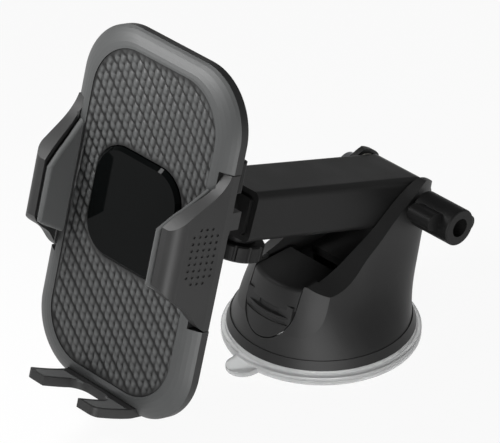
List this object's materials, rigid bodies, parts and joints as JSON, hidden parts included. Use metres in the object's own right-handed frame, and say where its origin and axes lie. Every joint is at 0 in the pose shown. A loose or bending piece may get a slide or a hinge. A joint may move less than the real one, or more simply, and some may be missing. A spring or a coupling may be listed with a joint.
{
  "type": "car phone mount",
  "caption": "Suction-cup car phone holder with a telescopic tilting arm, a ball-jointed cradle, geared side clamps and a sliding foot.",
  "frame": {"origin": "centre of the suction face, on the face", "axes": "+Z away from the suction face, -Y towards the phone side of the cradle, +X towards the pivot knob"},
  "size_m": [0.072, 0.1584, 0.1359],
  "materials": {
    "clear_gel": "clear",
    "base_plastic": "matte",
    "arm_plastic": "matte",
    "bezel_plastic": "satin",
    "clamp_plastic": "matte",
    "weave_plastic": "embossed weave",
    "gloss_plastic": "gloss",
    "grip_rubber": "matte",
    "acetal": "satin",
    "steel": "brushed"
  },
  "bodies": {
    "base": {"suction_pad": "clear_gel", "skirt_ring": "base_plastic", "base_screws": "steel", "yoke_body": "base_plastic", "pivot_bolt": "steel", "friction_washers": "acetal", "plunger_spring": "steel"},
    "plunger": {"plunger": "acetal", "lever_pin": "steel"},
    "lever": {"suction_lever": "base_plastic"},
    "arm": {"outer_tube": "arm_plastic", "clamp_shoe": "acetal"},
    "pivot_knob": {"pivot_knob": "arm_plastic"},
    "lock_knob": {"lock_knob": "arm_plastic"},
    "slider": {"inner_slider": "arm_plastic", "ball_stud": "arm_plastic"},
    "ball_liner": {"ball_liner": "acetal"},
    "pressure_ring": {"pressure_ring": "acetal"},
    "cradle": {"front_bezel": "bezel_plastic", "weave_panel": "weave_plastic", "rear_cover": "bezel_plastic", "chassis_plate": "arm_plastic", "cover_screws": "steel", "pinion_pin": "steel", "ball_nut": "arm_plastic", "trigger_spring": "steel", "left_release_spring": "steel", "right_release_spring": "steel"},
    "trigger": {"trigger_pad": "gloss_plastic"},
    "left_clamp": {"left_clamp_arm": "clamp_plastic", "left_clamp_pad": "grip_rubber"},
    "right_clamp": {"right_clamp_arm": "clamp_plastic", "right_clamp_pad": "grip_rubber"},
    "pinion": {"pinion": "acetal"},
    "left_button": {"left_release_button": "arm_plastic"},
    "right_button": {"right_release_button": "arm_plastic"},
    "foot": {"foot_bracket": "clamp_plastic", "foot_pads": "grip_rubber"}
  },
  "joints": [
    {"name": "plunger_slide", "type": "slide", "parent": "base", "child": "plunger", "axis": [0, 0, -1], "range_m": [0, 0.0016], "deforming": ["plunger_spring"]},
    {"name": "lever_swing", "type": "hinge", "parent": "plunger", "child": "lever", "pos_m": [0, 0, 0.018], "axis": [-1, 0, 0], "range_deg": [0, 50]},
    {"name": "arm_tilt", "type": "hinge", "parent": "base", "child": "arm", "pos_m": [0, 0.0307, 0.043], "axis": [-1, 0, 0], "range_deg": [-8, 100]},
    {"name": "pivot_knob_turn", "type": "hinge", "parent": "base", "child": "pivot_knob", "pos_m": [0.0255, 0.0307, 0.043], "axis": [1, 0, 0], "range_deg": [-180, 180]},
    {"name": "lock_knob_turn", "type": "hinge", "parent": "arm", "child": "lock_knob", "pos_m": [0, -0.0398, 0.05139], "axis": [0, 0.3185, 0.9479], "range_deg": [-180, 180]},
    {"name": "arm_extend", "type": "slide", "parent": "arm", "child": "slider", "axis": [0, -0.9479, 0.3185], "range_m": [0, 0.045]},
    {"name": "ball_pan", "type": "hinge", "parent": "slider", "child": "ball_liner", "pos_m": [0, -0.06128, 0.0739], "axis": [0, 0.2629, 0.9648], "range_deg": [-20, 20]},
    {"name": "ball_tilt", "type": "hinge", "parent": "ball_liner", "child": "pressure_ring", "pos_m": [0, -0.06128, 0.0739], "axis": [1, 0, 0], "range_deg": [-20, 20]},
    {"name": "ball_roll", "type": "hinge", "parent": "pressure_ring", "child": "cradle", "pos_m": [0, -0.06128, 0.0739], "axis": [0, -0.9648, 0.2629], "continuous": true},
    {"name": "trigger_press", "type": "slide", "parent": "cradle", "child": "trigger", "axis": [0, 0.9648, -0.2629], "range_m": [0, 0.002], "stiffness_N_per_m": 400, "springref_m": -0.002, "deforming": ["trigger_spring"]},
    {"name": "left_clamp_slide", "type": "slide", "parent": "cradle", "child": "left_clamp", "axis": [-1, 0, 0], "range_m": [0, 0.016]},
    {"name": "right_clamp_slide", "type": "slide", "parent": "cradle", "child": "right_clamp", "axis": [1, 0, 0], "range_m": [0, 0.016]},
    {"name": "pinion_spin", "type": "hinge", "parent": "cradle", "child": "pinion", "pos_m": [0, -0.0744, 0.07976], "axis": [0, 0.9648, -0.2629], "range_deg": [0, 153]},
    {"name": "left_release_press", "type": "slide", "parent": "cradle", "child": "left_button", "axis": [1, 0, 0], "range_m": [0, 0.0015], "stiffness_N_per_m": 300, "springref_m": -0.001, "deforming": ["left_release_spring"]},
    {"name": "right_release_press", "type": "slide", "parent": "cradle", "child": "right_button", "axis": [-1, 0, 0], "range_m": [0, 0.0015], "stiffness_N_per_m": 300, "springref_m": -0.001, "deforming": ["right_release_spring"]},
    {"name": "foot_slide", "type": "slide", "parent": "cradle", "child": "foot", "axis": [0, -0.2629, -0.9648], "range_m": [0, 0.012]}
  ],
  "couplings": [
    {"joint": "plunger_slide", "follows": "lever_swing", "m_per_rad": 0.0018334},
    {"joint": "right_clamp_slide", "follows": "left_clamp_slide", "ratio": 1},
    {"joint": "pinion_spin", "follows": "left_clamp_slide", "rad_per_m": 166.67}
  ]
}
